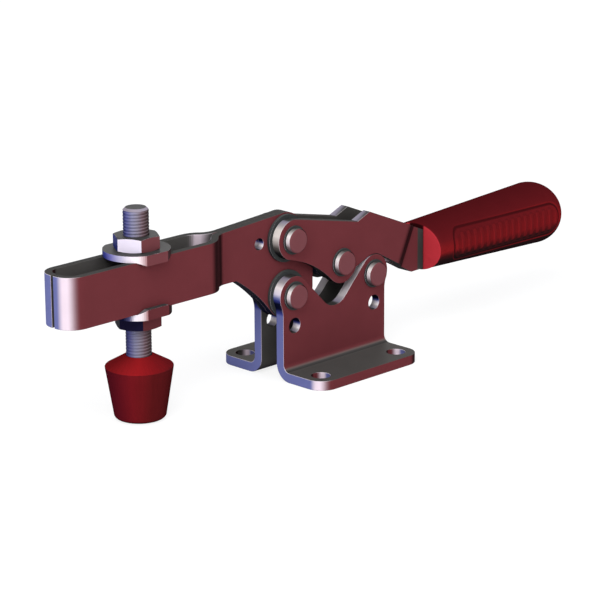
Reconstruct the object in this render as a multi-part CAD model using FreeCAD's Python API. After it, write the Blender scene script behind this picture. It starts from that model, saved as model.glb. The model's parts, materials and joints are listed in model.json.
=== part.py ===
"""Horizontal hold-down toggle clamp with a flanged base, a U-shaped bar and a rubber-tipped spindle.

The origin is the middle of the four base holes on the underside of the feet. The bar points along -X,
the handle along +X, and the clamp is shown closed. Sizes are in millimetres.
"""
import FreeCAD
import Part
import math
import os

from FreeCAD import Vector

# Linkage: two pivots in the base, one above the front pivot, and the toggle point between them
PIVOT_SPAN = 36.8
PIVOT_HEIGHT = 27.7
HANDLE_PIVOT_RISE = 18.4
LINK_CENTRES = 16.05
OVER_CENTRE = 0.6

# Sheet and stack, counted outwards from the middle plane
ARM_SHEET = 2.4
SPACER_SHEET = 1.05
STACK_GAP = 0.05
BASE_SHEET = 3.2
HANDLE_SHEET = 3.0

# Rivets, bushings and their washers
SHANK_R = 3.0
HEAD_R = 4.0
HEAD_HEIGHT = 2.0
HEAD_BEVEL = 0.35
HEAD_WASHER_R = 4.7
HEAD_WASHER_SHEET = 0.4
SPACER_R = 7.8
INNER_SPACER_R = 6.0
BUSH_WALL = 1.2
FIT = 0.05

# Base plates
BASE_HOLE_PITCH = 35.0
BASE_HOLE_R = 3.1
END_MARGIN = 6.0
SIDE_MARGIN = 6.4
FOOT_CORNER_R = 6.0
BEND_R = 2.4
EAR_R = 6.4
EAR_BLEND_R = 9.0
NOTCH_R = 6.5
NOTCH_DROP = 0.45
SIDE_HOLE_R = 2.5
SIDE_HOLE_DROP = 9.95

# Arm plates
ARM_REACH = 94.0
BAR_HEIGHT = 16.2
BAR_RISE = 16.4
BAR_HALF_WIDTH = 7.5
JOGGLE_START = 26.4
JOGGLE_LENGTH = 10.6
NOSE_R = 6.4
NOSE_GAP = 1.0
ARM_TOP_R = 8.3
ARM_FOOT_R = 8.0
ARM_CREST_TURN = 100.0
ARM_HEEL_TURN = 214.0
ARM_REAR = 12.6
ARM_REAR_R = 4.5
ARM_REAR_RISE = 6.2
ARM_SWELL = 36.0
ARM_SWELL_RISE = 1.0
ARM_THROAT = 21.4
THROAT_BOW_REACH = 13.3
THROAT_BOW_RISE = 2.4
ARM_HOLE_R = 1.9
ARM_HOLE_REACH = 11.3

# Handle plates and grip
HANDLE_HUB_R = 6.6
TOGGLE_HUB_R = 7.0
WAIST_DEPTH = 5.1
REST_GAP = 0.15
SADDLE_LEAVE_TURN = 112.0
SADDLE_UNDER_TURN = 61.0
HANDLE_TOP_SLOPE = -12.1
NECK_SLOPE = -24.5
NECK_TOP_SLOPE = -22.6
STEP_START = 29.3
STEP_RUN = 5.7
STEP_RISE = 2.3
NECK_BREAK = 59.0
NECK_DROP = 4.7
NECK_JOGGLE = 50.3
NECK_JOGGLE_RISE = 7.0
NECK_JOGGLE_LENGTH = 8.0
TANG_END = 112.0
TANG_HEIGHT = 9.0
GRIP_START = 64.6
GRIP_LENGTH = 69.0
GRIP_NOSE = 10.5
GRIP_OVERLAP = 1.0
GRIP_RISE = 2.0
GRIP_LIP = 1.2
# Grip ovals, at its mouth, behind its lip and where its nose begins: rise of the middle, half width, half height
GRIP_MOUTH = (0.2, 10.9, 7.6)
GRIP_THROAT = (0.8, 11.4, 8.05)
GRIP_SHOULDER = (1.35, 12.0, 10.8)

# Link plates
LINK_SHEET = 2.4
LINK_END_R = 6.2

# Spindle, nuts and flanged washers
SPINDLE_REACH = 60.6
SPINDLE_R = 4.0
SPINDLE_TOP = 8.5
SPINDLE_CHAMFER = 0.8
NUT_FLATS = 13.0
NUT_HEIGHT = 4.3
NUT_CHAMFER = 0.3
FLANGE_R = 10.4
FLANGE_FLAT = 9.5
FLANGE_SHEET = 2.0
FLANGE_LIP = 1.3
LIP_EDGE_HALF = 4.0
LIP_ROOT_HALF = 7.0
FLANGE_GAP = 0.15
THREAD_GAP = 0.05
TIP_SHOULDER_R = 10.65
TIP_END_R = 8.2
TIP_HEIGHT = 20.3
TIP_CONE = 3.6
TIP_EDGE_R = 1.6
TIP_NECK_WALL = 0.4
TIP_BORE_DEPTH = 12.0
TIP_LIFT = 0.2

# Places that follow from the sizes above, as (x, z) on the middle plane
ARM_PIVOT = (-PIVOT_SPAN / 2, PIVOT_HEIGHT)
LINK_PIVOT = (PIVOT_SPAN / 2, PIVOT_HEIGHT)
HANDLE_PIVOT = (ARM_PIVOT[0], PIVOT_HEIGHT + HANDLE_PIVOT_RISE)
PLATE_IN = ARM_SHEET + STACK_GAP + SPACER_SHEET
PLATE_OUT = PLATE_IN + BASE_SHEET
HANDLE_OUT = PLATE_IN + HANDLE_SHEET
BASE_HALF = BASE_HOLE_PITCH / 2 + END_MARGIN
FOOT_EDGE = BASE_HOLE_PITCH / 2 + SIDE_MARGIN
BUSH_R = SHANK_R + FIT + BUSH_WALL
BAR_MIDDLE = PIVOT_HEIGHT + BAR_RISE
BAR_TOP = BAR_MIDDLE + BAR_HEIGHT / 2
BAR_BOTTOM = BAR_MIDDLE - BAR_HEIGHT / 2
BAR_NOSE = ARM_PIVOT[0] - ARM_REACH
SPINDLE_X = ARM_PIVOT[0] - SPINDLE_REACH
FAR = 200.0


def polar(centre, radius, angle):
    """Point at an angle in degrees on a circle."""
    a = math.radians(angle)
    return (centre[0] + radius * math.cos(a), centre[1] + radius * math.sin(a))


def bearing(start, end):
    """Angle in degrees of the line from one point to another."""
    return math.degrees(math.atan2(end[1] - start[1], end[0] - start[0]))


def ahead(point, angle, length):
    """Point at a length from another, along an angle."""
    return polar(point, length, angle)


def toggle_point():
    """Toggle point: the link's length up the line of the two outer pivots, then a little past the line."""
    along = bearing(LINK_PIVOT, HANDLE_PIVOT)
    on_line = ahead(LINK_PIVOT, along, LINK_CENTRES)
    return ahead(on_line, along + 90, OVER_CENTRE)


TOGGLE = toggle_point()


def in_xz(a, b):
    return Vector(a, 0, b)


def in_yz(a, b):
    return Vector(0, a, b)


def in_xy(a, b):
    return Vector(a, b, 0)


def outline(stretches, plane=in_xz):
    """Closed wire through stretches, joined by straight runs.

    A stretch is a corner (a, b), a round one (centre, radius, first angle, last angle), or a bow
    (start, middle, end) through three points.
    """
    edges = []
    ends = []
    for stretch in stretches:
        if len(stretch) == 2:
            ends.append((stretch, stretch))
            edges.append(None)
            continue
        if len(stretch) == 4:
            centre, radius, first, last = stretch
            points = [polar(centre, radius, angle) for angle in (first, (first + last) / 2, last)]
        else:
            points = stretch
        edges.append(Part.Arc(*[plane(*point) for point in points]).toShape())
        ends.append((points[0], points[2]))
    loop = []
    for index, edge in enumerate(edges):
        if edge is not None:
            loop.append(edge)
        here = plane(*ends[index][1])
        there = plane(*ends[(index + 1) % len(ends)][0])
        if here.distanceToPoint(there) > 1e-6:
            loop.append(Part.makeLine(here, there))
    return Part.Wire(loop)


def plate(stretches, y_from, y_to):
    """Flat plate: an outline in XZ given its thickness along Y."""
    face = Part.Face(outline(stretches))
    face.translate(Vector(0, y_from, 0))
    return face.extrude(Vector(0, y_to - y_from, 0))


def cross_pin(centre, radius, y_from, y_to):
    """Round bar along Y."""
    return Part.makeCylinder(radius, y_to - y_from, Vector(centre[0], y_from, centre[1]), Vector(0, 1, 0))


def ring(centre, outer, inner, y_from, y_to):
    """Washer or bushing along Y."""
    return cross_pin(centre, outer, y_from, y_to).cut(cross_pin(centre, inner, y_from - 1, y_to + 1))


def other_side(shape):
    """Mirror image across the middle plane."""
    return shape.mirror(Vector(0, 0, 0), Vector(0, 1, 0))


def tangent_normal(start, r_start, end, r_end, side):
    """Angle of the common normal of two circles' tangent; a negative end radius gives a crossing one."""
    span = math.dist(start, end)
    return bearing(start, end) + side * math.degrees(math.acos((r_start - r_end) / span))


def circles_meet(first, r_first, second, r_second, side):
    """Point where two circles cross, on the left of the line between them for side 1."""
    span = math.dist(first, second)
    along = (span ** 2 + r_first ** 2 - r_second ** 2) / (2 * span)
    across = math.sqrt(r_first ** 2 - along ** 2)
    angle = bearing(first, second)
    return ahead(ahead(first, angle, along), angle + 90 * side, across)


def line_meets_circle(point, angle, centre, radius):
    """First point where a line from a point, at an angle, enters a circle."""
    reach = math.dist(point, centre)
    off = math.radians(bearing(point, centre) - angle)
    length = reach * math.cos(off) - math.sqrt(radius ** 2 - (reach * math.sin(off)) ** 2)
    return ahead(point, angle, length)


def revolved(profile, x, y):
    """Solid turned about an upright axis from (radius, height) corners and rounds."""
    face = Part.Face(outline(profile))
    solid = face.revolve(Vector(0, 0, 0), Vector(0, 0, 1), 360)
    solid.translate(Vector(x, y, 0))
    return solid


def base_outline():
    """Side of the base plate, clockwise: front edge, front ear, notch, rear ear, rear edge."""
    step = BASE_HALF - PIVOT_SPAN / 2
    drop = math.sqrt((EAR_R + EAR_BLEND_R) ** 2 - (step + EAR_BLEND_R) ** 2)
    blend = (-BASE_HALF - EAR_BLEND_R, PIVOT_HEIGHT - drop)
    turn = bearing(blend, ARM_PIVOT)
    notch = (0, PIVOT_HEIGHT - NOTCH_DROP)
    flank = tangent_normal(ARM_PIVOT, EAR_R, notch, -NOTCH_R, 1)
    return [
        (-BASE_HALF, -1),
        (blend, EAR_BLEND_R, 0, turn),
        (ARM_PIVOT, EAR_R, turn + 180, flank),
        (notch, NOTCH_R, flank + 180, 360 - flank),
        (LINK_PIVOT, EAR_R, 180 - flank, -turn),
        ((-blend[0], blend[1]), EAR_BLEND_R, 180 - turn, 180),
        (BASE_HALF, -1),
    ]


def base_plate():
    """Far base plate: an upright sheet with its foot bent outwards, trimmed to its side and plan shapes."""
    bend = (PLATE_OUT + BEND_R, BASE_SHEET + BEND_R)
    section = outline([
        (PLATE_IN, FAR),
        (bend, BASE_SHEET + BEND_R, 180, 270),
        (FAR, 0),
        (FAR, BASE_SHEET),
        (bend, BEND_R, 270, 180),
        (PLATE_OUT, FAR),
    ], in_yz)
    bent = Part.Face(section).extrude(Vector(FAR, 0, 0))
    bent.translate(Vector(-FAR / 2, 0, 0))
    corner = BASE_HALF - FOOT_CORNER_R
    plan = outline([
        (-BASE_HALF, 0),
        ((-corner, FOOT_EDGE - FOOT_CORNER_R), FOOT_CORNER_R, 180, 90),
        ((corner, FOOT_EDGE - FOOT_CORNER_R), FOOT_CORNER_R, 90, 0),
        (BASE_HALF, 0),
    ], in_xy)
    foot = Part.Face(plan).extrude(Vector(0, 0, PLATE_OUT + BASE_SHEET + BEND_R))
    tall = Part.makeBox(FAR, FAR, FAR, Vector(-FAR / 2, 0, BASE_SHEET + BEND_R))
    solid = bent.common(plate(base_outline(), 0, FAR)).common(foot.fuse(tall))
    for pivot in (ARM_PIVOT, LINK_PIVOT):
        below = (pivot[0], pivot[1] - SIDE_HOLE_DROP)
        solid = solid.cut(cross_pin(pivot, SHANK_R + FIT, 0, FAR))
        solid = solid.cut(cross_pin(below, SIDE_HOLE_R, 0, FAR))
    for x in (-BASE_HOLE_PITCH / 2, BASE_HOLE_PITCH / 2):
        place = Vector(x, BASE_HOLE_PITCH / 2, -1)
        solid = solid.cut(Part.makeCylinder(BASE_HOLE_R, BASE_SHEET + 2, place))
    return solid.removeSplitter()


def arm_side():
    """Side of the arm plate, clockwise from the lower front corner."""
    swell = (ARM_PIVOT[0] - ARM_SWELL, BAR_TOP)
    crest = polar(HANDLE_PIVOT, ARM_TOP_R, ARM_CREST_TURN)
    rise = ((swell[0] + crest[0]) / 2, BAR_TOP + ARM_SWELL_RISE)
    lobe = (ARM_PIVOT[0] + ARM_REAR - ARM_REAR_R, ARM_PIVOT[1])
    upper = (lobe[0], lobe[1] + ARM_REAR_RISE)
    top_turn = tangent_normal(HANDLE_PIVOT, ARM_TOP_R, upper, ARM_REAR_R, 1)
    foot_turn = tangent_normal(ARM_PIVOT, ARM_FOOT_R, lobe, ARM_REAR_R, -1)
    heel = polar(ARM_PIVOT, ARM_FOOT_R, ARM_HEEL_TURN)
    bow = (ARM_PIVOT[0] - THROAT_BOW_REACH, ARM_PIVOT[1] + THROAT_BOW_RISE)
    throat = (ARM_PIVOT[0] - ARM_THROAT, BAR_BOTTOM)
    return [
        (BAR_NOSE, BAR_BOTTOM),
        (BAR_NOSE, BAR_TOP),
        (swell, rise, crest),
        (HANDLE_PIVOT, ARM_TOP_R, ARM_CREST_TURN, top_turn),
        (upper, ARM_REAR_R, top_turn, 0),
        (lobe, ARM_REAR_R, 0, foot_turn),
        (ARM_PIVOT, ARM_FOOT_R, foot_turn, ARM_HEEL_TURN - 360),
        (heel, bow, throat),
    ]


def arm_plan():
    """Plan of the far arm plate: flat at the rear, joggled outwards, with the nose curled back inwards."""
    shift = BAR_HALF_WIDTH - ARM_SHEET
    middle_r = (JOGGLE_LENGTH ** 2 + shift ** 2) / (4 * shift)
    turn = 2 * math.degrees(math.atan2(shift, JOGGLE_LENGTH))
    tight = middle_r - ARM_SHEET / 2
    wide = middle_r + ARM_SHEET / 2
    rear = (ARM_PIVOT[0] - JOGGLE_START, ARM_SHEET / 2 + middle_r)
    front = (rear[0] - JOGGLE_LENGTH, BAR_HALF_WIDTH - ARM_SHEET / 2 - middle_r)
    nose = (BAR_NOSE + NOSE_R, BAR_HALF_WIDTH - NOSE_R)
    tail = ARM_PIVOT[0] + 2 * ARM_REAR
    return [
        (tail, ARM_SHEET),
        (rear, tight, -90, -90 - turn),
        (front, wide, 90 - turn, 90),
        (nose, NOSE_R, 90, 180),
        (BAR_NOSE, NOSE_GAP / 2),
        (BAR_NOSE + ARM_SHEET, NOSE_GAP / 2),
        (nose, NOSE_R - ARM_SHEET, 180, 90),
        (front, tight, 90, 90 - turn),
        (rear, wide, -90 - turn, -90),
        (tail, 0),
    ]


def arm_plate():
    """Far arm plate: the joggled strip trimmed to its side shape."""
    strip = Part.Face(outline(arm_plan(), in_xy)).extrude(Vector(0, 0, FAR))
    solid = strip.common(plate(arm_side(), -1, FAR))
    for pivot in (ARM_PIVOT, HANDLE_PIVOT):
        solid = solid.cut(cross_pin(pivot, BUSH_R, -1, FAR))
    hole = (HANDLE_PIVOT[0] - ARM_HOLE_REACH, HANDLE_PIVOT[1])
    return solid.cut(cross_pin(hole, ARM_HOLE_R, -1, FAR))


def handle_side():
    """Side of the handle plate, clockwise from the handle pivot's hub."""
    start_turn = 90 + HANDLE_TOP_SLOPE
    top_start = polar(HANDLE_PIVOT, HANDLE_HUB_R, start_turn)
    top_run = (ARM_PIVOT[0] + STEP_START - top_start[0]) / math.cos(math.radians(HANDLE_TOP_SLOPE))
    step_foot = ahead(top_start, HANDLE_TOP_SLOPE, top_run)
    step_top = (step_foot[0] + STEP_RUN, step_foot[1] + STEP_RISE)
    neck_end = ARM_PIVOT[0] + GRIP_START + GRIP_OVERLAP
    neck_run = (neck_end - step_top[0]) / math.cos(math.radians(NECK_TOP_SLOPE))
    neck_top = ahead(step_top, NECK_TOP_SLOPE, neck_run)
    tang_low = PIVOT_HEIGHT + GRIP_RISE - TANG_HEIGHT / 2
    tang_high = tang_low + TANG_HEIGHT
    tang_end = ARM_PIVOT[0] + TANG_END
    saddle = EAR_R + REST_GAP
    under_slope = SADDLE_UNDER_TURN - 90
    under_start = polar(LINK_PIVOT, saddle, SADDLE_UNDER_TURN)
    under_run = (ARM_PIVOT[0] + NECK_BREAK - under_start[0]) / math.cos(math.radians(under_slope))
    under_break = ahead(under_start, under_slope, under_run)
    under_end = (neck_end, PIVOT_HEIGHT - NECK_DROP)
    saddle_end = polar(LINK_PIVOT, saddle, SADDLE_LEAVE_TURN)
    hub_start = line_meets_circle(saddle_end, SADDLE_LEAVE_TURN + 90, TOGGLE, TOGGLE_HUB_R)
    hub_turn = bearing(TOGGLE, hub_start)
    reach = math.dist(HANDLE_PIVOT, TOGGLE)
    hub_r = (HANDLE_HUB_R + TOGGLE_HUB_R) / 2
    waist_r = ((reach / 2) ** 2 + WAIST_DEPTH ** 2 - hub_r ** 2) / (2 * (hub_r - WAIST_DEPTH))
    waist = circles_meet(HANDLE_PIVOT, waist_r + HANDLE_HUB_R, TOGGLE, waist_r + TOGGLE_HUB_R, -1)
    waist_left = bearing(waist, HANDLE_PIVOT)
    waist_right = bearing(waist, TOGGLE)
    return [
        (HANDLE_PIVOT, HANDLE_HUB_R, waist_left + 180, start_turn),
        step_foot,
        step_top,
        neck_top,
        (neck_end + TANG_HEIGHT, tang_high),
        (tang_end, tang_high),
        (tang_end, tang_low),
        (neck_end + TANG_HEIGHT, tang_low),
        under_end,
        under_break,
        (LINK_PIVOT, saddle, SADDLE_UNDER_TURN, SADDLE_LEAVE_TURN),
        (TOGGLE, TOGGLE_HUB_R, hub_turn, waist_right - 180),
        (waist, waist_r, waist_right, waist_left),
    ]


def handle_strip():
    """Far handle plate seen along its neck: outer at the pivots, joggled in to the middle plane."""
    shift = PLATE_IN
    middle_r = (NECK_JOGGLE_LENGTH ** 2 + shift ** 2) / (4 * shift)
    turn = 2 * math.degrees(math.atan2(shift, NECK_JOGGLE_LENGTH))
    tight = middle_r - HANDLE_SHEET / 2
    wide = middle_r + HANDLE_SHEET / 2
    outer_middle = PLATE_IN + HANDLE_SHEET / 2
    first = (0, outer_middle - middle_r)
    last = (NECK_JOGGLE_LENGTH, HANDLE_SHEET / 2 + middle_r)
    section = outline([
        (-FAR, PLATE_IN),
        (-FAR, HANDLE_OUT),
        (first, wide, 90, 90 - turn),
        (last, tight, 270 - turn, 270),
        (FAR, HANDLE_SHEET),
        (FAR, 0),
        (last, wide, 270, 270 - turn),
        (first, tight, 90 - turn, 90),
    ], in_xy)
    strip = Part.Face(section).extrude(Vector(0, 0, 2 * FAR))
    strip.translate(Vector(0, 0, -FAR))
    strip.rotate(Vector(0, 0, 0), Vector(0, 1, 0), -NECK_SLOPE)
    strip.translate(Vector(ARM_PIVOT[0] + NECK_JOGGLE, 0, PIVOT_HEIGHT + NECK_JOGGLE_RISE))
    return strip


def handle_plate():
    """Far handle plate: the joggled strip trimmed to its side shape."""
    solid = handle_strip().common(plate(handle_side(), -1, FAR))
    for pivot in (HANDLE_PIVOT, TOGGLE):
        solid = solid.cut(cross_pin(pivot, SHANK_R + FIT, -1, FAR))
    return solid


def oval(x, z, half_width, half_height):
    """Oval section across the grip: a circle squeezed to its half sizes."""
    squeeze = FreeCAD.Matrix()
    squeeze.scale(1, half_width, half_height)
    section = Part.makeCircle(1, Vector(0, 0, 0), Vector(1, 0, 0)).transformGeometry(squeeze)
    section.translate(Vector(x, 0, z))
    return Part.Wire(section.Edges)


def grip_nose(x, z, half_width, half_height):
    """Front half of an egg: a half ball stretched to the nose's length and the oval's half sizes."""
    ball = Part.makeSphere(1)
    half = ball.common(Part.makeBox(2, 4, 4, Vector(0, -2, -2)))
    stretch = FreeCAD.Matrix()
    stretch.scale(GRIP_NOSE, half_width, half_height)
    nose = half.transformGeometry(stretch)
    nose.translate(Vector(x, 0, z))
    return nose


def handle_grip(plates):
    """Moulded grip: a bevelled lip, a straight taper to the shoulder and a round nose, over the joined tangs."""
    mouth_x = ARM_PIVOT[0] + GRIP_START
    shoulder_x = mouth_x + GRIP_LENGTH - GRIP_NOSE
    middle = PIVOT_HEIGHT + GRIP_RISE
    mouth = oval(mouth_x, middle + GRIP_MOUTH[0], *GRIP_MOUTH[1:])
    throat = oval(mouth_x + GRIP_LIP, middle + GRIP_THROAT[0], *GRIP_THROAT[1:])
    shoulder = oval(shoulder_x, middle + GRIP_SHOULDER[0], *GRIP_SHOULDER[1:])
    taper = Part.makeLoft([mouth, throat, shoulder], True, True)
    solid = taper.fuse(grip_nose(shoulder_x, middle + GRIP_SHOULDER[0], *GRIP_SHOULDER[1:]))
    for piece in plates:
        solid = solid.cut(piece)
    return solid


def link_side():
    """Straight link with round ends."""
    along = bearing(TOGGLE, LINK_PIVOT)
    return [
        (TOGGLE, LINK_END_R, along - 90, along - 270),
        (LINK_PIVOT, LINK_END_R, along + 90, along - 90),
    ]


def link_plate():
    """Far link plate."""
    solid = plate(link_side(), 0, LINK_SHEET)
    for pivot in (TOGGLE, LINK_PIVOT):
        solid = solid.cut(cross_pin(pivot, BUSH_R, -1, LINK_SHEET + 1))
    return solid


def headed_end(centre, y_from, y_plate):
    """Far half of a rivet: shank from y_from, then the head that stands on the head washer."""
    seat = y_plate + HEAD_WASHER_SHEET
    top = seat + HEAD_HEIGHT
    shank = cross_pin(centre, SHANK_R, y_from, seat)
    head = cross_pin(centre, HEAD_R, seat, top - HEAD_BEVEL)
    place = Vector(centre[0], top - HEAD_BEVEL, centre[1])
    crown = Part.makeCone(HEAD_R, HEAD_R - HEAD_BEVEL, HEAD_BEVEL, place, Vector(0, 1, 0))
    return shank.fuse([head, crown]).removeSplitter()


def through_rivet(centre, y_plate):
    """Whole rivet: a far half and its mirror image."""
    half = headed_end(centre, 0, y_plate)
    return half.fuse(other_side(half)).removeSplitter()


def head_washers(places):
    """Washers under the rivet heads, both sides, as (centre, outer face of the plate) pairs."""
    rings = []
    for centre, y_plate in places:
        washer = ring(centre, HEAD_WASHER_R, SHANK_R + FIT, y_plate, y_plate + HEAD_WASHER_SHEET)
        rings += [washer, other_side(washer)]
    return Part.makeCompound(rings)


def spacer(centre, radius):
    """Far spacer washer between the middle plates and the outer ones."""
    return ring(centre, radius, SHANK_R + FIT, PLATE_IN - SPACER_SHEET, PLATE_IN)


def flanged_washer():
    """Upper flanged washer: a disc with two flats, whose sloping lips hang down both sides of the bar."""
    top = BAR_TOP + FLANGE_SHEET
    low = BAR_TOP - FLANGE_LIP
    side = plate([
        (SPINDLE_X - FLANGE_R, BAR_TOP),
        (SPINDLE_X - FLANGE_R, top),
        (SPINDLE_X + FLANGE_R, top),
        (SPINDLE_X + FLANGE_R, BAR_TOP),
        (SPINDLE_X + LIP_ROOT_HALF, BAR_TOP),
        (SPINDLE_X + LIP_EDGE_HALF, low),
        (SPINDLE_X - LIP_EDGE_HALF, low),
        (SPINDLE_X - LIP_ROOT_HALF, BAR_TOP),
    ], -FLANGE_FLAT, FLANGE_FLAT)
    solid = side.common(Part.makeCylinder(FLANGE_R, top - low, Vector(SPINDLE_X, 0, low)))
    saddle = BAR_HALF_WIDTH + FLANGE_GAP
    channel = Part.makeBox(FAR, 2 * saddle, FLANGE_LIP, Vector(SPINDLE_X - FAR / 2, -saddle, low))
    bore = Part.makeCylinder(SPINDLE_R + FLANGE_GAP, FAR, Vector(SPINDLE_X, 0, BAR_TOP - FAR / 2))
    return solid.cut(channel).cut(bore)


def hex_nut(bottom):
    """Thin hexagon nut, its corners chamfered at both ends, with two of its flats square to Y."""
    corner_r = NUT_FLATS / math.sqrt(3)
    corners = [polar((SPINDLE_X, 0), corner_r, 60 * step) for step in range(6)]
    prism = Part.Face(outline(corners, in_xy)).extrude(Vector(0, 0, NUT_HEIGHT))
    prism.translate(Vector(0, 0, bottom))
    flat_r = NUT_FLATS / 2
    wide = corner_r + NUT_CHAMFER
    drop = NUT_CHAMFER * (wide - flat_r) / (corner_r - flat_r)
    barrel = revolved([
        (0, bottom),
        (flat_r, bottom),
        (wide, bottom + drop),
        (wide, bottom + NUT_HEIGHT - drop),
        (flat_r, bottom + NUT_HEIGHT),
        (0, bottom + NUT_HEIGHT),
    ], SPINDLE_X, 0)
    bore = Part.makeCylinder(SPINDLE_R + THREAD_GAP, NUT_HEIGHT + 2, Vector(SPINDLE_X, 0, bottom - 1))
    return prism.common(barrel).cut(bore)


def upside_down(shape):
    """Mirror image across the bar's middle height."""
    return shape.mirror(Vector(0, 0, BAR_MIDDLE), Vector(0, 0, 1))


def spindle():
    """Spindle at its thread's outer size, chamfered at the top, with its end held in the tip."""
    top = BAR_TOP + FLANGE_SHEET + NUT_HEIGHT + SPINDLE_TOP
    end = TIP_LIFT + TIP_HEIGHT - TIP_BORE_DEPTH
    return revolved([
        (0, end),
        (SPINDLE_R, end),
        (SPINDLE_R, top - SPINDLE_CHAMFER),
        (SPINDLE_R - SPINDLE_CHAMFER, top),
        (0, top),
    ], SPINDLE_X, 0)


def spindle_tip():
    """Rubber tip: a blunt cone over a tapering body with a rounded lower edge and a blind bore."""
    top = TIP_LIFT + TIP_HEIGHT
    edge = (TIP_END_R - TIP_EDGE_R, TIP_LIFT + TIP_EDGE_R)
    return revolved([
        (0, TIP_LIFT),
        (edge, TIP_EDGE_R, -90, 0),
        (TIP_SHOULDER_R, top - TIP_CONE),
        (SPINDLE_R + TIP_NECK_WALL, top),
        (SPINDLE_R, top),
        (SPINDLE_R, top - TIP_BORE_DEPTH),
        (0, top - TIP_BORE_DEPTH),
    ], SPINDLE_X, 0)


def build():
    """All pieces by name."""
    pieces = {}

    def pair(name, shape):
        pieces[name + "_far"] = shape
        pieces[name + "_near"] = other_side(shape)

    pair("base_plate", base_plate())
    pieces["arm_pivot_rivet"] = through_rivet(ARM_PIVOT, PLATE_OUT)
    pieces["link_pivot_rivet"] = through_rivet(LINK_PIVOT, PLATE_OUT)
    pieces["base_rivet_washers"] = head_washers([(ARM_PIVOT, PLATE_OUT), (LINK_PIVOT, PLATE_OUT)])
    pair("arm_spacer", spacer(ARM_PIVOT, SPACER_R))
    pair("link_spacer", spacer(LINK_PIVOT, INNER_SPACER_R))

    pair("arm_plate", arm_plate())
    pieces["arm_pivot_bushing"] = ring(ARM_PIVOT, BUSH_R, SHANK_R + FIT, -ARM_SHEET, ARM_SHEET)
    pieces["handle_pivot_bushing"] = ring(HANDLE_PIVOT, BUSH_R, SHANK_R + FIT, -ARM_SHEET, ARM_SHEET)

    far_plate = handle_plate()
    pair("handle_plate", far_plate)
    pieces["handle_grip"] = handle_grip([far_plate, other_side(far_plate)])
    pieces["handle_pivot_rivet"] = through_rivet(HANDLE_PIVOT, HANDLE_OUT)
    pair("toggle_rivet", headed_end(TOGGLE, PLATE_IN - SPACER_SHEET, HANDLE_OUT))
    pieces["handle_rivet_washers"] = head_washers([(HANDLE_PIVOT, HANDLE_OUT), (TOGGLE, HANDLE_OUT)])
    pair("handle_spacer", spacer(HANDLE_PIVOT, SPACER_R))
    pair("toggle_spacer", spacer(TOGGLE, INNER_SPACER_R))

    pair("link_plate", link_plate())
    pieces["link_pivot_bushing"] = ring(LINK_PIVOT, BUSH_R, SHANK_R + FIT, -LINK_SHEET, LINK_SHEET)
    pieces["toggle_pin"] = cross_pin(TOGGLE, BUSH_R, -LINK_SHEET, LINK_SHEET)

    upper = flanged_washer()
    nut = hex_nut(BAR_TOP + FLANGE_SHEET)
    pieces["upper_flanged_washer"] = upper
    pieces["lower_flanged_washer"] = upside_down(upper)
    pieces["upper_nut"] = nut
    pieces["lower_nut"] = upside_down(nut)
    pieces["spindle"] = spindle()
    pieces["spindle_tip"] = spindle_tip()
    return pieces


os.makedirs("parts", exist_ok=True)
for node, piece in build().items():
    piece.exportStep("parts/" + node + ".step")
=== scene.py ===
"""Looks of a hold-down toggle clamp: plated stamped plates, riveted joints, a threaded spindle, a red grip.

Lengths are in metres, in the clamp's own frame: bar towards -X, handle towards +X, near side -Y.
"""

import json
import math

import bmesh
import bpy
import numpy as np
from mathutils import Matrix, Vector


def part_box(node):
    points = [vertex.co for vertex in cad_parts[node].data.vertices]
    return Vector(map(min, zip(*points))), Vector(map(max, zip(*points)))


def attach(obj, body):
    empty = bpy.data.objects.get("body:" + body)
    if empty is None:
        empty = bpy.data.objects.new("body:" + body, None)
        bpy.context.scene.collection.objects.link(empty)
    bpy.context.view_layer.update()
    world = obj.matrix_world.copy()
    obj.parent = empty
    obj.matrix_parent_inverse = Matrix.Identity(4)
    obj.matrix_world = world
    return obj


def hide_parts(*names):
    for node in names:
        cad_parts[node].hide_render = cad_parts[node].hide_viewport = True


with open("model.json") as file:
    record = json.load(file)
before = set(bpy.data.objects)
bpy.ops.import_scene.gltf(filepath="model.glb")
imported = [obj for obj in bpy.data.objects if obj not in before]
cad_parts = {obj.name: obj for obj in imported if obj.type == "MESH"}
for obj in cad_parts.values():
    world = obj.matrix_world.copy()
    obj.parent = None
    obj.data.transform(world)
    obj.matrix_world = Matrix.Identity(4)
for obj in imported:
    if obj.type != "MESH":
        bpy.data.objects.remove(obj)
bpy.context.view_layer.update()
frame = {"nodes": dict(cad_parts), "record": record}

MM = 0.001

# Places on the clamp, in millimetres
SPINDLE_X = -79.0
SPINDLE_R = 4.0
SPINDLE_CHAMFER = 0.8
THREAD_PITCH = 1.0
THREAD_DEPTH = 0.16
THREAD_CREST = 0.25
THREAD_STEPS = 14
THREAD_SIDES = 72

# Fineness of the CAD meshes' repair and of their broken edges: millimetres, and degrees
WELD_MM = 0.002
FLAT_ANGLE = 0.6
EDGE_ANGLE = 26.0
SHARP_ANGLE = 24.0

# Studio: half width of the floor in metres, how much of the floor glows where it is seen, and its strength
FLOOR_HALF = 30.0
FLOOR_SHARE = 0.75
FLOOR_GLOW = 1.08
WORLD_STRENGTH = 0.55
LIGHT_AIM = (0.0, 0.0, 0.03)

# Camera, fitted to the pivots, holes and edges of the photograph
CAMERA_AZIMUTH = -44.84
CAMERA_ELEVATION = 16.38
CAMERA_ROLL = 0.33
CAMERA_LENS = 158.25
CAMERA_SENSOR = 36.0
AIM_POINT = (-18.4, 0.0, 27.7)
AIM_DEPTH = 847.05
AIM_RIGHT = -6.449
AIM_UP = 2.740


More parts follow.
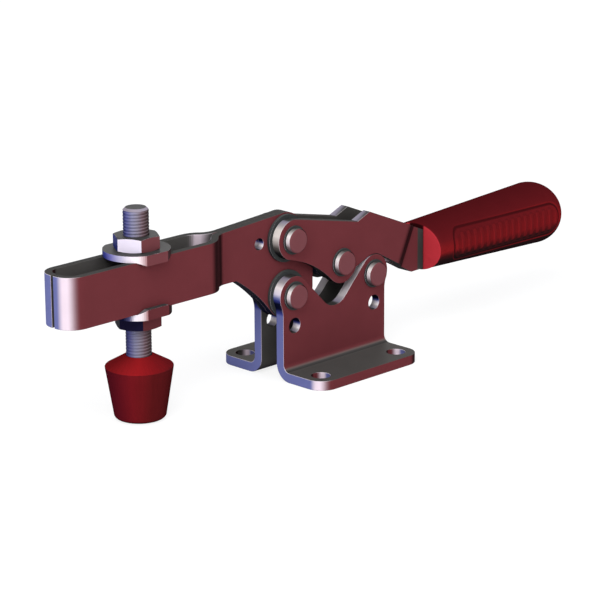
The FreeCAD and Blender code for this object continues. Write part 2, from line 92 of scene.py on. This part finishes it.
def linear(code):
    """Linear colour of an sRGB hex value: the sRGB curve undone, channel by channel."""
    channels = [int(code[i:i + 2], 16) / 255 for i in (0, 2, 4)]
    return tuple(c / 12.92 if c <= 0.04045 else ((c + 0.055) / 1.055) ** 2.4 for c in channels) + (1.0,)


def add(tree, kind, links=None, values=None, **settings):
    """Adds a node with its settings, its sockets' values, and its links as socket: (node, output)."""
    node = tree.nodes.new(kind)
    for name, value in settings.items():
        setattr(node, name, value)
    for name, value in (values or {}).items():
        node.inputs[name].default_value = value
    for name, (source, output) in (links or {}).items():
        tree.links.new(source.outputs[output], node.inputs[name])
    return node


def new_material(name):
    """Empty node material and its tree."""
    material = bpy.data.materials.new(name)
    material.use_nodes = True
    material.node_tree.nodes.clear()
    return material, material.node_tree


def set_ramp(node, stops):
    """Fills a colour ramp from (place, hex) stops."""
    ramp = node.color_ramp
    while len(ramp.elements) > 1:
        ramp.elements.remove(ramp.elements[-1])
    ramp.elements[0].position = stops[0][0]
    ramp.elements[0].color = linear(stops[0][1])
    for place, code in stops[1:]:
        ramp.elements.new(place).color = linear(code)


def grain(tree, scale_mm, stretch=(1, 1, 1), detail=4.0):
    """Noise on object coordinates whose grain is scale_mm across, drawn out along each axis by stretch."""
    place = add(tree, "ShaderNodeTexCoord")
    size = [1 / (scale_mm * MM * part) for part in stretch]
    mapped = add(tree, "ShaderNodeMapping", {"Vector": (place, "Object")}, {"Scale": size})
    return add(tree, "ShaderNodeTexNoise", {"Vector": (mapped, "Vector")}, {"Scale": 1.0, "Detail": detail})


def tone_ramp(tree, source, stops):
    """Colour ramp over a value from -1 to 1, from (value, hex) stops."""
    share = add(tree, "ShaderNodeMapRange", {"Value": source}, {"From Min": -1.0, "From Max": 1.0})
    ramp = add(tree, "ShaderNodeValToRGB", {"Fac": (share, "Result")})
    set_ramp(ramp, [((value + 1) / 2, code) for value, code in stops])
    return ramp, "Color"


def blended(tree, source, first, last, under, over):
    """Goes smoothly from one colour to another while a value goes from first to last."""
    share = add(tree, "ShaderNodeMapRange", {"Value": source}, {"From Min": first, "From Max": last},
                interpolation_type="SMOOTHSTEP")
    links = {0: (share, "Result")}
    values = {}
    for socket, tone in ((6, under), (7, over)):
        if isinstance(tone, str):
            values[socket] = linear(tone)
        else:
            links[socket] = tone
    return add(tree, "ShaderNodeMix", links, values, data_type="RGBA"), 2


def facing(tree):
    """Way the surface faces and its place, both in the clamp's own frame, split into X, Y and Z."""
    place = add(tree, "ShaderNodeTexCoord")
    way = add(tree, "ShaderNodeSeparateXYZ", {"Vector": (place, "Normal")})
    spot = add(tree, "ShaderNodeSeparateXYZ", {"Vector": (place, "Object")})
    slant = add(tree, "ShaderNodeVectorMath", {0: (place, "Normal")}, {1: SLANT}, operation="DOT_PRODUCT")
    return way, spot, (slant, "Value")


def metal_skin(tree, tint, roughness, metallic, grain_mm, stretch):
    """Metal under a thin plating: cloudy tint, drawn or rolled grain in its gloss, and fine pitting.

    The real grain and pits are some hundredths of a millimetre across and are drawn coarser, so that they
    show.
    """
    cloud = grain(tree, CLOUD_MM, detail=3.0)
    shade = add(tree, "ShaderNodeMapRange", {"Value": (cloud, "Fac")}, {"To Min": 0.90, "To Max": 1.10})
    toned = add(tree, "ShaderNodeHueSaturation", {"Color": tint, "Value": (shade, "Result")})
    rolled = grain(tree, grain_mm, stretch=stretch)
    rough = add(tree, "ShaderNodeMapRange", {"Value": (rolled, "Fac")},
                {"To Min": roughness - 0.06, "To Max": roughness + 0.08})
    pits = grain(tree, PIT_MM)
    bump = add(tree, "ShaderNodeBump", {"Height": (pits, "Fac")},
               {"Strength": 0.08, "Distance": PIT_DEPTH_MM * MM})
    skin = add(tree, "ShaderNodeBsdfPrincipled", {
        "Base Color": (toned, "Color"), "Roughness": (rough, "Result"), "Normal": (bump, "Normal")},
        {"Metallic": metallic, "Specular IOR Level": 0.0})
    add(tree, "ShaderNodeOutputMaterial", {"Surface": (skin, "BSDF")})


def plated_sheet(name, face, inner, front_stops, back_stops, turn, entry=None):
    """Stamped steel under zinc plating, tinted as the photograph's coloured light leaves it.

    Real plating is one colour all over. Here the tint is painted light and shade that follows the way the
    surface faces: one colour on the outer side of the sheet and a dark grey one, painted shade, on the inner
    side, and along its cut edges a ramp from underside to top, one for the edges that face the bar's nose and
    one, darker with painted shade, for those that face the handle. Round the bar's nose it turns pale with a
    painted highlight before it turns flat, and where a bend leads inwards it goes nearly black with painted
    shade. The feet's tops are a little lighter than the bar's, painted light. turn is how far the surface faces
    sideways where an edge's tint goes over into the flat one. entry is the strip along the clamp, in
    millimetres, over which the plates go dark with painted shade at the grip.
    """
    material, tree = new_material(name)
    way, spot, _ = facing(tree)
    front = tone_ramp(tree, (way, "Z"), front_stops)
    back = tone_ramp(tree, (way, "Z"), back_stops)
    side = add(tree, "ShaderNodeMath", {0: (way, "Y")}, operation="ABSOLUTE")
    level = add(tree, "ShaderNodeMath", {0: (way, "Z")}, operation="ABSOLUTE")
    bent = add(tree, "ShaderNodeMath", {0: (side, "Value"), 1: (level, "Value")}, operation="SUBTRACT")
    # Painted highlight round the bar's nose
    pale = blended(tree, (bent, "Value"), 0.10, 0.46, front, FLANK_HIGHLIGHT)
    flank = blended(tree, (way, "Y"), -0.10, 0.10, pale, front)
    # Painted shade on edges that face the handle
    tail = blended(tree, (way, "X"), 0.10, 0.60, back, TAIL_SHADE)
    edge = blended(tree, (way, "X"), -0.08, -0.28, tail, flank)
    # Painted shade, dark grey, on the sheet's inner side
    within = add(tree, "ShaderNodeMath", {0: (way, "Y"), 1: (spot, "Y")}, operation="MULTIPLY")
    flat = blended(tree, (within, "Value"), *INNER_SIDE, face, inner)
    # Painted shade, nearly black, where the surface faces the handle, as where a bend leads inwards
    leaving = blended(tree, (way, "X"), 0.02, 0.36, flat, AWAY_SHADE)
    tint = blended(tree, (side, "Value"), *turn, edge, leaving)
    # Painted light on the feet's tops
    foot = blended(tree, (way, "Z"), 0.94, 0.985, tint, FOOT_TOP_LIGHT)
    tint = blended(tree, (spot, "Z"), FOOT_RANGE[0] * MM, FOOT_RANGE[1] * MM, tint, foot)
    # Painted shade where the plates enter the grip
    if entry:
        tint = blended(tree, (spot, "X"), entry[0] * MM, entry[1] * MM, tint, ENTRY_SHADE)
    metal_skin(tree, tint, SHEET_ROUGHNESS, SHEET_METALLIC, ROLLED_MM, ROLLED_STRETCH)
    return material


def turned_metal(name, side_stops, rim_stops, low_stops, bevel, top, under, roughness, metallic):
    """Turned or pressed hardware in bright zinc, with painted light: a ramp round its sides, a pale bevel as a
    painted highlight, and darker ends in painted shade.

    Under the bar the ramp round the sides changes to darker painted shade, once for the washer and once
    more for the nut below it.
    """
    material, tree = new_material(name)
    way, spot, slant = facing(tree)
    high = tone_ramp(tree, slant, side_stops)
    rim = tone_ramp(tree, slant, rim_stops)
    low = tone_ramp(tree, slant, low_stops)
    # Painted shade under the bar: darker ramps for the washer and for the nut below it
    shaded = blended(tree, (spot, "Z"), (UNDER_WASHER - 0.1) * MM, (UNDER_WASHER + 0.1) * MM, low, rim)
    sides = blended(tree, (spot, "Z"), UNDER_BAR * MM, (UNDER_BAR + 2) * MM, shaded, high)
    # Painted shade underneath, a painted highlight on the bevel and painted shade on the tops
    lower = blended(tree, (way, "Z"), -0.25, -0.75, sides, under)
    bevelled = blended(tree, (way, "Z"), 0.30, 0.62, lower, bevel)
    tint = blended(tree, (way, "Z"), 0.80, 0.96, bevelled, top)
    metal_skin(tree, tint, roughness, metallic, TURNED_MM, (1.0, 1.0, 1.0))
    return material


def moulded_skin(tree, tint, roughness, texture_mm, texture_depth_mm):
    """Soft moulding: faint mottling, a satin gloss and the fine texture of the mould."""
    mottled = grain(tree, 6.0, detail=3.0)
    shade = add(tree, "ShaderNodeMapRange", {"Value": (mottled, "Fac")}, {"To Min": 0.92, "To Max": 1.08})
    toned = add(tree, "ShaderNodeHueSaturation", {"Color": tint, "Value": (shade, "Result")})
    fine = grain(tree, texture_mm)
    bump = add(tree, "ShaderNodeBump", {"Height": (fine, "Fac")},
               {"Strength": 0.2, "Distance": texture_depth_mm * MM})
    skin = add(tree, "ShaderNodeBsdfPrincipled", {"Base Color": (toned, "Color"), "Normal": (bump, "Normal")},
               {"Roughness": roughness, "Specular IOR Level": 0.0})
    add(tree, "ShaderNodeOutputMaterial", {"Surface": (skin, "BSDF")})


def grip_vinyl(name):
    """Red vinyl with painted light and shade: deep red above, brighter on the sides, nearly black below and
    where the plates enter, with a painted highlight on the end round them.

    The mesh's attribute pressed is 1 in the panel's grooves, -1 on its ribs and 0 elsewhere.
    """
    material, tree = new_material(name)
    way, spot, _ = facing(tree)
    plain = tone_ramp(tree, (way, "Z"), VINYL_STOPS)
    pressed = add(tree, "ShaderNodeAttribute", attribute_name="pressed")
    # Painted shade: darkest in the panel's grooves, a little dark on its ribs
    raised = blended(tree, (pressed, "Fac"), -0.2, -0.8, plain, RIB_SHADE)
    sunk = blended(tree, (pressed, "Fac"), 0.2, 0.9, raised, GROOVE_SHADE)
    body = blended(tree, (way, "Z"), -0.25, -0.60, sunk, plain)
    # Painted highlight on the end face, painted shade in the plates' slot
    aside = add(tree, "ShaderNodeMath", {0: (spot, "Y")}, operation="ABSOLUTE")
    mouth = blended(tree, (aside, "Value"), SLOT_RANGE[0] * MM, SLOT_RANGE[1] * MM, SLOT_SHADE, MOUTH_HIGHLIGHT)
    tint = blended(tree, (way, "X"), -0.70, -0.95, body, mouth)
    moulded_skin(tree, tint, VINYL_ROUGHNESS, 0.5, 0.03)
    return material


def tip_rubber(name):
    """Red rubber with painted light and shade: a ramp round the tapering body, a brighter one on the cone above
    it, and a dark underside.
    """
    material, tree = new_material(name)
    way, _, slant = facing(tree)
    body = tone_ramp(tree, slant, RUBBER_BODY_STOPS)
    cone = tone_ramp(tree, slant, RUBBER_CONE_STOPS)
    upper = blended(tree, (way, "Z"), 0.15, 0.60, body, cone)
    # Painted shade underneath
    tint = blended(tree, (way, "Z"), -0.35, -0.90, upper, RUBBER_UNDER_SHADE)
    moulded_skin(tree, tint, RUBBER_ROUGHNESS, 0.4, 0.02)
    return material


# Grain, in millimetres, and gloss. The plating is satin, with hardly a reflection, as in the photograph
CLOUD_MM = 9.0
PIT_MM = 0.3
PIT_DEPTH_MM = 0.05
ROLLED_MM = 0.35
ROLLED_STRETCH = (14.0, 1.0, 1.0)
TURNED_MM = 0.25
SHEET_ROUGHNESS = 0.5
SHEET_METALLIC = 0.12
VINYL_ROUGHNESS = 0.7
RUBBER_ROUGHNESS = 0.6

# Level direction across the near side and the nose, along which round pieces' painted light and shade are
# laid out
SLANT = (0.709, -0.705, 0.0)

# Heights and strips where one tint of painted light and shade goes over into another, in millimetres
UNDER_BAR = 38.0
UNDER_WASHER = 34.0
FOOT_RANGE = (6.0, 4.0)
SLOT_RANGE = (2.8, 3.6)
INNER_SIDE = (-0.1 * MM, -0.5 * MM)

# Painted light and shade in (value, hex) stops, where the value is how far the surface faces up, or along
# SLANT, and single tints of painted highlight, painted shade and painted light
# Sheet: painted highlight round the nose, painted shade on edges facing the handle, where a bend leads inwards
# and at the grip, and painted light on the feet's tops
FLANK_HIGHLIGHT = "DCCBD6"
TAIL_SHADE = "3A1E22"
AWAY_SHADE = "1E0C0E"
ENTRY_SHADE = "383A38"
FOOT_TOP_LIGHT = "4B4947"
SHEET_FRONT = [(-1.0, "04050A"), (-0.28, "0A0D26"), (-0.10, "363B7C"), (0.03, "7075A6"), (0.22, "DED6E6"),
               (0.52, "EFE6E6"), (0.76, "A09A9E"), (0.90, "8A8492"), (0.94, "7C7684"), (0.97, "444343"),
               (1.0, "363534")]
HANDLE_FRONT = [(-1.0, "0A0A0C"), (-0.55, "1C1C1E"), (-0.25, "5C5754"), (0.0, "B2AAA6"), (0.30, "E8E0DA"),
                (0.60, "DAD2CC"), (0.80, "9C9698"), (0.90, "8A8492"), (0.94, "7C7684"), (0.97, "444343"),
                (1.0, "363534")]
SHEET_BACK = [(-1.0, "0E1024"), (-0.4, "1E1216"), (0.0, "6C3034"), (0.24, "5A4444"), (0.6, "6A6662"),
              (0.8, "42403F"), (1.0, "343332")]
RIVET_FRONT = [(-1.0, "201A20"), (-0.40, "7A6A6E"), (0.0, "E4D8DC"), (0.5, "F4EEEC"), (0.86, "8C8886"),
               (1.0, "5A5856")]
RIVET_BACK = [(-1.0, "1A1416"), (-0.3, "4A3034"), (0.0, "84585C"), (0.5, "9A8A8A"), (0.86, "6C6866"),
              (1.0, "4A4846")]
# Spacer rings: painted shade, a little lighter where they face up
RING_STOPS = [(-1.0, "26282A"), (0.0, "36393A"), (1.0, "4A4C4A")]
# Nuts and washers: blue to wine red painted coloured light and pale painted highlights, darker as painted shade
# under the bar
ZINC_SIDE = [(-1.0, "1C2258"), (-0.88, "3E449A"), (-0.70, "8886D0"), (-0.45, "D2CCEE"), (-0.22, "F0E6F4"),
             (0.12, "E6D6DA"), (0.34, "9C7478"), (0.68, "6A3A3E"), (1.0, "2E2022")]
ZINC_RIM = [(-1.0, "07091C"), (-0.36, "101434"), (-0.18, "56547E"), (-0.05, "E0D8E2"), (0.18, "DCD0D4"),
            (0.34, "986C6E"), (0.66, "5E2C30"), (1.0, "1E1214")]
ZINC_LOW = [(-1.0, "07091C"), (-0.70, "0C0E26"), (-0.30, "14142E"), (0.0, "2A1C28"), (0.4, "42242A"),
            (0.72, "562A2E"), (1.0, "1E1214")]
THREAD_SIDE = [(-1.0, "14183C"), (-0.86, "242A60"), (-0.62, "565890"), (-0.25, "7A7A96"), (0.15, "746E7C"),
               (0.5, "5E4A50"), (0.78, "443434"), (1.0, "201818")]
VINYL_STOPS = [(-1.0, "160D0E"), (-0.62, "1E1112"), (-0.38, "3A1214"), (-0.12, "701619"), (0.15, "6A1518"),
               (0.50, "561317"), (1.0, "4A1115")]
# Grip: painted highlight on its end, painted shade in the plates' slot, on the panel's ribs and deeper in its
# grooves
MOUTH_HIGHLIGHT = "B8323B"
SLOT_SHADE = "2A0A0C"
RIB_SHADE = "5C1417"
GROOVE_SHADE = "3A0D10"
RUBBER_BODY_STOPS = [(-1.0, "440D18"), (-0.62, "541019"), (-0.20, "631319"), (0.10, "5C1317"), (0.45, "4C1214"),
                     (0.80, "481214"), (1.0, "3A0E10")]
RUBBER_CONE_STOPS = [(-1.0, "641418"), (-0.50, "7A181C"), (0.0, "88181C"), (0.35, "701418"), (0.75, "481418"),
                     (1.0, "361018")]
# Painted shade under the tip
RUBBER_UNDER_SHADE = "2A0C0E"
SHEET_TURN = (0.60, 0.97)

# Cold-rolled steel, stamped and bent, then zinc plated: flat satin faces with a faint rolled grain along the
# clamp, wine red faces in painted coloured light, and edges with painted highlights and painted shade
PLATED_SHEET = plated_sheet("zinc_plated_sheet", "5F2C30", "4A4846", SHEET_FRONT, SHEET_BACK, SHEET_TURN)
# Handle plates: the same painted light, paler edges, and painted shade where they enter the grip
PLATED_HANDLE = plated_sheet("zinc_plated_handle_sheet", "5F2C30", "3E3C3A", HANDLE_FRONT, SHEET_BACK,
                             SHEET_TURN, entry=(43.2, 43.9))
# Cold-headed steel rivets, zinc plated: a flat satin face in wine red painted light inside a rounded rim
# with a pale painted highlight
PLATED_RIVET = plated_sheet("zinc_plated_rivet", "683C40", "683C40", RIVET_FRONT, RIVET_BACK, (0.20, 0.60))
# Stamped steel spacer washers: a dull ring between the plates, its dark grey painted shade, a little lighter
# where it faces up
DARK_RING = plated_sheet("steel_ring_in_painted_shade", "363838", "2A2A2C", RING_STOPS, RING_STOPS, SHEET_TURN)
# Pressed washers and cold-formed nuts in bright zinc, with painted light: pale bevels as painted highlights,
# and flats that go from blue to wine red as painted coloured light
PLATED_HARDWARE = turned_metal("bright_zinc_hardware", ZINC_SIDE, ZINC_RIM, ZINC_LOW,
                               "C8BCC4", "403F3F", "0A0B18", 0.42, 0.2)
# Rolled thread, zinc plated: greyer than the nuts as painted shade of its flanks on each other, with a ramp
# of painted light round it
CUT_THREAD = turned_metal("zinc_plated_thread", THREAD_SIDE, THREAD_SIDE, THREAD_SIDE,
                          "8A828E", "403F40", "2A2A3A", 0.5, 0.2)
# Vinyl, moulded over the plates' ends: deep red, hardly any gloss, with the fine texture of the mould, and
# painted light and shade by the way it faces
GRIP_VINYL = grip_vinyl("dipped_red_vinyl")
# Moulded rubber: a soft red without gloss, with painted light and shade by the way it faces
TIP_RUBBER = tip_rubber("red_rubber")


def merged_copy(node, name):
    """Copy of a CAD node's mesh with its loose triangles joined and flat faces made whole."""
    mesh = frame["nodes"][node].data.copy()
    mesh.name = name
    work = bmesh.new()
    work.from_mesh(mesh)
    bmesh.ops.remove_doubles(work, verts=work.verts, dist=WELD_MM * MM)
    bmesh.ops.dissolve_limit(work, angle_limit=math.radians(FLAT_ANGLE), verts=work.verts, edges=work.edges)
    work.to_mesh(mesh)
    work.free()
    piece = bpy.data.objects.new(name, mesh)
    bpy.context.scene.collection.objects.link(piece)
    return piece


def finish_mesh(piece, material, sharp=SHARP_ANGLE):
    """Smooth shading up to a sharp angle, and one material."""
    mesh = piece.data
    mesh.materials.clear()
    mesh.materials.append(material)
    mesh.polygons.foreach_set("use_smooth", np.ones(len(mesh.polygons), bool))
    mesh.set_sharp_from_angle(angle=math.radians(sharp))


def dressed(node, body, material, edge_mm):
    """Piece that stands for a CAD node: the same form with its edges broken by a small round."""
    piece = merged_copy(node, node + "_dressed")
    finish_mesh(piece, material)
    bevel = piece.modifiers.new("edge_break", "BEVEL")
    bevel.width = edge_mm * MM
    bevel.segments = 2
    bevel.limit_method = "ANGLE"
    bevel.angle_limit = math.radians(EDGE_ANGLE)
    bevel.use_clamp_overlap = True
    bevel.harden_normals = True
    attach(piece, body)
    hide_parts(node)


def grid_mesh(name, points, first_cap=None, last_cap=None):
    """Mesh from an array of points [along, around, xyz]; rings close on themselves, caps are fans."""
    along, around, _ = points.shape
    vertices = points.reshape(-1, 3)
    row, column = np.meshgrid(np.arange(along - 1), np.arange(around), indexing="ij")
    after = (column + 1) % around
    quads = np.stack([row * around + column, row * around + after,
                      (row + 1) * around + after, (row + 1) * around + column], axis=-1).reshape(-1, 4)
    faces = [tuple(face) for face in quads.tolist()]
    extra = []
    for cap, base, forward in ((first_cap, 0, True), (last_cap, (along - 1) * around, False)):
        if cap is None:
            continue
        hub = len(vertices) + len(extra)
        extra.append(cap)
        ring = np.arange(around)
        follow = (ring + 1) % around
        pair = (follow, ring) if forward else (ring, follow)
        faces += [(hub, int(a) + base, int(b) + base) for a, b in zip(*pair)]
    if extra:
        vertices = np.vstack([vertices, np.array(extra)])
    mesh = bpy.data.meshes.new(name)
    mesh.from_pydata(vertices.tolist(), [], faces)
    mesh.update()
    piece = bpy.data.objects.new(name, mesh)
    bpy.context.scene.collection.objects.link(piece)
    return piece


def outward(piece):
    """Turns every face of a closed piece outwards."""
    work = bmesh.new()
    work.from_mesh(piece.data)
    bmesh.ops.recalc_face_normals(work, faces=work.faces)
    work.to_mesh(piece.data)
    work.free()


def threaded_spindle():
    """Threaded rod: the radius is the thread's outer one less a 60 degree groove that climbs a pitch a turn.

    The groove's depth is a triangle wave of height / pitch - angle / turn, cut flat at the crest. At both
    ends the radius is held under a 45 degree chamfer.
    """
    low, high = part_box("spindle")
    bottom, top = low[2] / MM, high[2] / MM
    steps = int((top - bottom) / THREAD_PITCH * THREAD_STEPS)
    height = np.linspace(bottom, top, steps)[:, None]
    angle = np.linspace(0, 2 * np.pi, THREAD_SIDES, endpoint=False)[None, :]
    phase = (height / THREAD_PITCH - angle / (2 * np.pi)) % 1.0
    groove = np.clip((1 - np.abs(2 * phase - 1)) - THREAD_CREST, 0, None) / (1 - THREAD_CREST)
    radius = SPINDLE_R - THREAD_DEPTH * groove
    chamfer = SPINDLE_R - SPINDLE_CHAMFER + np.minimum(top - height, height - bottom)
    radius = np.minimum(radius, chamfer)
    points = np.stack([SPINDLE_X + radius * np.cos(angle), radius * np.sin(angle),
                       np.broadcast_to(height, radius.shape)], axis=-1) * MM
    piece = grid_mesh("threaded_spindle", points,
                      first_cap=(SPINDLE_X * MM, 0, bottom * MM), last_cap=(SPINDLE_X * MM, 0, top * MM))
    outward(piece)
    finish_mesh(piece, CUT_THREAD, 40)
    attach(piece, "spindle")
    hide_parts("spindle")


# Grip, in millimetres: each ring is its middle height, half width and half height, at the mouth, behind the
# lip and at the shoulder where the nose begins
GRIP_MOUTH_X = 46.2
GRIP_MOUTH = (29.9, 10.9, 7.6)
GRIP_LIP = 1.2
GRIP_THROAT = (30.5, 11.4, 8.05)
GRIP_SHOULDER_X = 104.7
GRIP_SHOULDER = (31.05, 12.0, 10.8)
GRIP_NOSE = 10.5
PANEL_X = (53.2, 107.0)
PANEL_Z = (25.4, 36.3)
PANEL_CORNER = 4.2
PANEL_GROOVE = 0.45
PANEL_DEPTH = 0.45
RIB_PITCH = 3.2
RIB_HEIGHT = 0.30
RIB_MARGIN = 1.5
SOFT_STEP = 0.12


def moulded_grip():
    """Grip: oval rings that grow from mouth to shoulder, then a round nose, with a ribbed panel on each side.

    Over the lip a ring's half sizes grow as the sine while the way along grows as one less the cosine. Then
    they grow in proportion to the way along, and over the nose they shrink as the cosine while the way along
    grows as the sine. The panel is a rounded rectangle in side view: a groove follows its rim, the field
    inside lies a little lower, and upright ribs rise from it.
    """
    lip = np.linspace(0, np.pi / 2, 10)
    along = np.linspace(0, 1, 240)[1:]
    turn = np.linspace(0, np.pi / 2, 48)[1:]
    throat_x = GRIP_MOUTH_X + GRIP_LIP
    x = np.concatenate([GRIP_MOUTH_X + GRIP_LIP * (1 - np.cos(lip)),
                        throat_x + (GRIP_SHOULDER_X - throat_x) * along,
                        GRIP_SHOULDER_X + GRIP_NOSE * np.sin(turn)])
    shrink = np.concatenate([np.ones(len(lip) + len(along)), np.cos(turn)])
    middle, half_width, half_height = [
        np.concatenate([mouth + (throat - mouth) * np.sin(lip), throat + (shoulder - throat) * along,
                        np.full(len(turn), shoulder)])
        for mouth, throat, shoulder in zip(GRIP_MOUTH, GRIP_THROAT, GRIP_SHOULDER)]
    angle = np.linspace(0, 2 * np.pi, 256, endpoint=False)[None, :]
    y = (half_width * shrink)[:, None] * np.cos(angle)
    z = middle[:, None] + (half_height * shrink)[:, None] * np.sin(angle)
    centre_x, centre_z = sum(PANEL_X) / 2, sum(PANEL_Z) / 2
    dx = np.abs(x[:, None] - centre_x) - ((PANEL_X[1] - PANEL_X[0]) / 2 - PANEL_CORNER)
    dz = np.abs(z - centre_z) - ((PANEL_Z[1] - PANEL_Z[0]) / 2 - PANEL_CORNER)
    outside = np.hypot(np.maximum(dx, 0), np.maximum(dz, 0))
    rim = outside + np.minimum(np.maximum(dx, dz), 0) - PANEL_CORNER
    groove = np.exp(-(rim / PANEL_GROOVE) ** 2)
    field = 1 / (1 + np.exp((rim + PANEL_GROOVE) / SOFT_STEP))
    wave = 0.5 + 0.5 * np.cos(2 * np.pi * (x[:, None] - centre_x) / RIB_PITCH)
    ribs = 1 / (1 + np.exp(-(wave - 0.62) / 0.05))
    inside = 1 + np.exp((rim + RIB_MARGIN) / SOFT_STEP)
    ribs = ribs / inside
    dent = PANEL_DEPTH * np.maximum(groove, 0.5 * field) - RIB_HEIGHT * ribs
    y = y - np.sign(y) * np.minimum(dent, np.abs(y))
    points = np.stack([np.broadcast_to(x[:, None], y.shape), y, z], axis=-1) * MM
    piece = grid_mesh("moulded_grip", points, first_cap=(GRIP_MOUTH_X * MM, 0, middle[0] * MM))
    # pressed marks where the vinyl gets painted shade: most in the grooves, some in the sunken field, and a
    # lighter shade on the ribs
    between = field / inside * (1 - ribs)
    pressed = np.append(np.clip(groove + 0.45 * between - ribs, -1, 1).ravel(), 0)
    piece.data.attributes.new("pressed", "FLOAT", "POINT").data.foreach_set("value", pressed)
    work = bmesh.new()
    work.from_mesh(piece.data)
    bmesh.ops.remove_doubles(work, verts=work.verts, dist=WELD_MM / 2 * MM)
    bmesh.ops.recalc_face_normals(work, faces=work.faces)
    work.to_mesh(piece.data)
    work.free()
    finish_mesh(piece, GRIP_VINYL, 50)
    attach(piece, "handle")
    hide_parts("handle_grip")


def dress_all():
    """Every CAD piece gets its broken edges and its finish."""
    slots = {row["node"]: row["material_slot"] for row in frame["record"]["subparts"]}
    bodies = frame["record"]["behaviour"]["bodies"]
    body_of = {node: body for body, nodes in bodies.items() for node in nodes}
    # Finish and width of the broken edge, in millimetres, of each material slot
    finishes = {"plated_sheet": (PLATED_SHEET, 0.12), "rivet_steel": (PLATED_RIVET, 0.15),
                "bright_zinc": (PLATED_HARDWARE, 0.10), "dark_ring": (DARK_RING, 0.06),
                "red_rubber": (TIP_RUBBER, 0.6)}
    for node, slot in slots.items():
        if node in ("spindle", "handle_grip"):
            continue
        material, edge = finishes[slot]
        if node in ("handle_plate_near", "handle_plate_far"):
            material = PLATED_HANDLE
        dressed(node, body_of[node], material, edge)


dress_all()
threaded_spindle()
moulded_grip()


def seen_directly(tree):
    """1 for rays from the camera, off a gloss or through glass, and 0 for the light that falls on the clamp."""
    seen = add(tree, "ShaderNodeLightPath")
    glossy = add(tree, "ShaderNodeMath", {0: (seen, "Is Camera Ray"), 1: (seen, "Is Glossy Ray")},
                 operation="MAXIMUM")
    return add(tree, "ShaderNodeMath", {0: (glossy, "Value"), 1: (seen, "Is Transmission Ray")},
               operation="MAXIMUM")


def studio_floor():
    """Wide pale floor: plain matt, whitened to the camera and to reflections, and keeping the shadow."""
    size = FLOOR_HALF
    mesh = bpy.data.meshes.new("studio_floor")
    corners = [(-size, -size, 0), (size, -size, 0), (size, size, 0), (-size, size, 0)]
    mesh.from_pydata(corners, [], [(0, 1, 2, 3)])
    floor = bpy.data.objects.new("studio_floor", mesh)
    bpy.context.scene.collection.objects.link(floor)
    material, tree = new_material("pale_floor_paint")
    seen = seen_directly(tree)
    share = add(tree, "ShaderNodeMath", {0: (seen, "Value")}, {1: FLOOR_SHARE}, operation="MULTIPLY")
    paint = add(tree, "ShaderNodeBsdfDiffuse", values={"Color": linear("F4F4F4")})
    glow = add(tree, "ShaderNodeEmission", values={"Color": linear("FFFFFF"), "Strength": FLOOR_GLOW})
    mixed = add(tree, "ShaderNodeMixShader", {0: (share, "Value"), 1: (paint, "BSDF"), 2: (glow, "Emission")})
    add(tree, "ShaderNodeOutputMaterial", {"Surface": (mixed, "Shader")})
    mesh.materials.append(material)


def studio_world():
    """Even pale surroundings, white where the camera or a reflection sees them."""
    world = bpy.data.worlds.new("studio")
    bpy.context.scene.world = world
    world.use_nodes = True
    tree = world.node_tree
    tree.nodes.clear()
    seen = seen_directly(tree)
    soft = add(tree, "ShaderNodeBackground", values={"Color": linear("F2F4FA"), "Strength": WORLD_STRENGTH})
    white = add(tree, "ShaderNodeBackground", values={"Color": linear("FFFFFF"), "Strength": 1.0})
    mixed = add(tree, "ShaderNodeMixShader",
                {0: (seen, "Value"), 1: (soft, "Background"), 2: (white, "Background")})
    add(tree, "ShaderNodeOutputWorld", {"Surface": (mixed, "Shader")})


def soft_light(name, place, size, power):
    """White square area lamp that faces the clamp's middle: place and size in metres, power in watts."""
    lamp = bpy.data.lights.new(name, "AREA")
    lamp.size = size
    lamp.energy = power
    holder = bpy.data.objects.new(name, lamp)
    holder.location = place
    aim = Vector(LIGHT_AIM) - Vector(place)
    holder.rotation_euler = aim.to_track_quat("-Z", "Y").to_euler()
    bpy.context.scene.collection.objects.link(holder)


def photo_camera():
    """Camera at the photograph's place: its axes from azimuth, elevation and roll, its distance from the fit."""
    azimuth, elevation = math.radians(CAMERA_AZIMUTH), math.radians(CAMERA_ELEVATION)
    right = Vector((math.cos(azimuth), math.sin(azimuth), 0))
    forward = Vector((-math.sin(azimuth) * math.cos(elevation), math.cos(azimuth) * math.cos(elevation),
                      -math.sin(elevation)))
    up = right.cross(forward)
    place = (Vector(AIM_POINT) - AIM_RIGHT * right - AIM_UP * up - AIM_DEPTH * forward) * MM
    turn = Matrix((right, up, -forward)).transposed() @ Matrix.Rotation(-math.radians(CAMERA_ROLL), 3, "Z")
    lens = bpy.data.cameras.new("photo_camera")
    lens.lens = CAMERA_LENS
    lens.sensor_width = CAMERA_SENSOR
    lens.clip_end = 100.0
    camera = bpy.data.objects.new("photo_camera", lens)
    camera.matrix_world = Matrix.Translation(place) @ turn.to_4x4()
    bpy.context.scene.collection.objects.link(camera)
    bpy.context.scene.camera = camera


studio_floor()
studio_world()
soft_light("key_light", (-0.9, -0.5, 1.0), 0.7, 14.0)
soft_light("side_light", (0.2, -1.2, 0.5), 0.9, 7.0)
soft_light("back_light", (0.9, 0.9, 0.6), 0.9, 6.0)
photo_camera()
bpy.context.scene.view_settings.view_transform = "Standard"
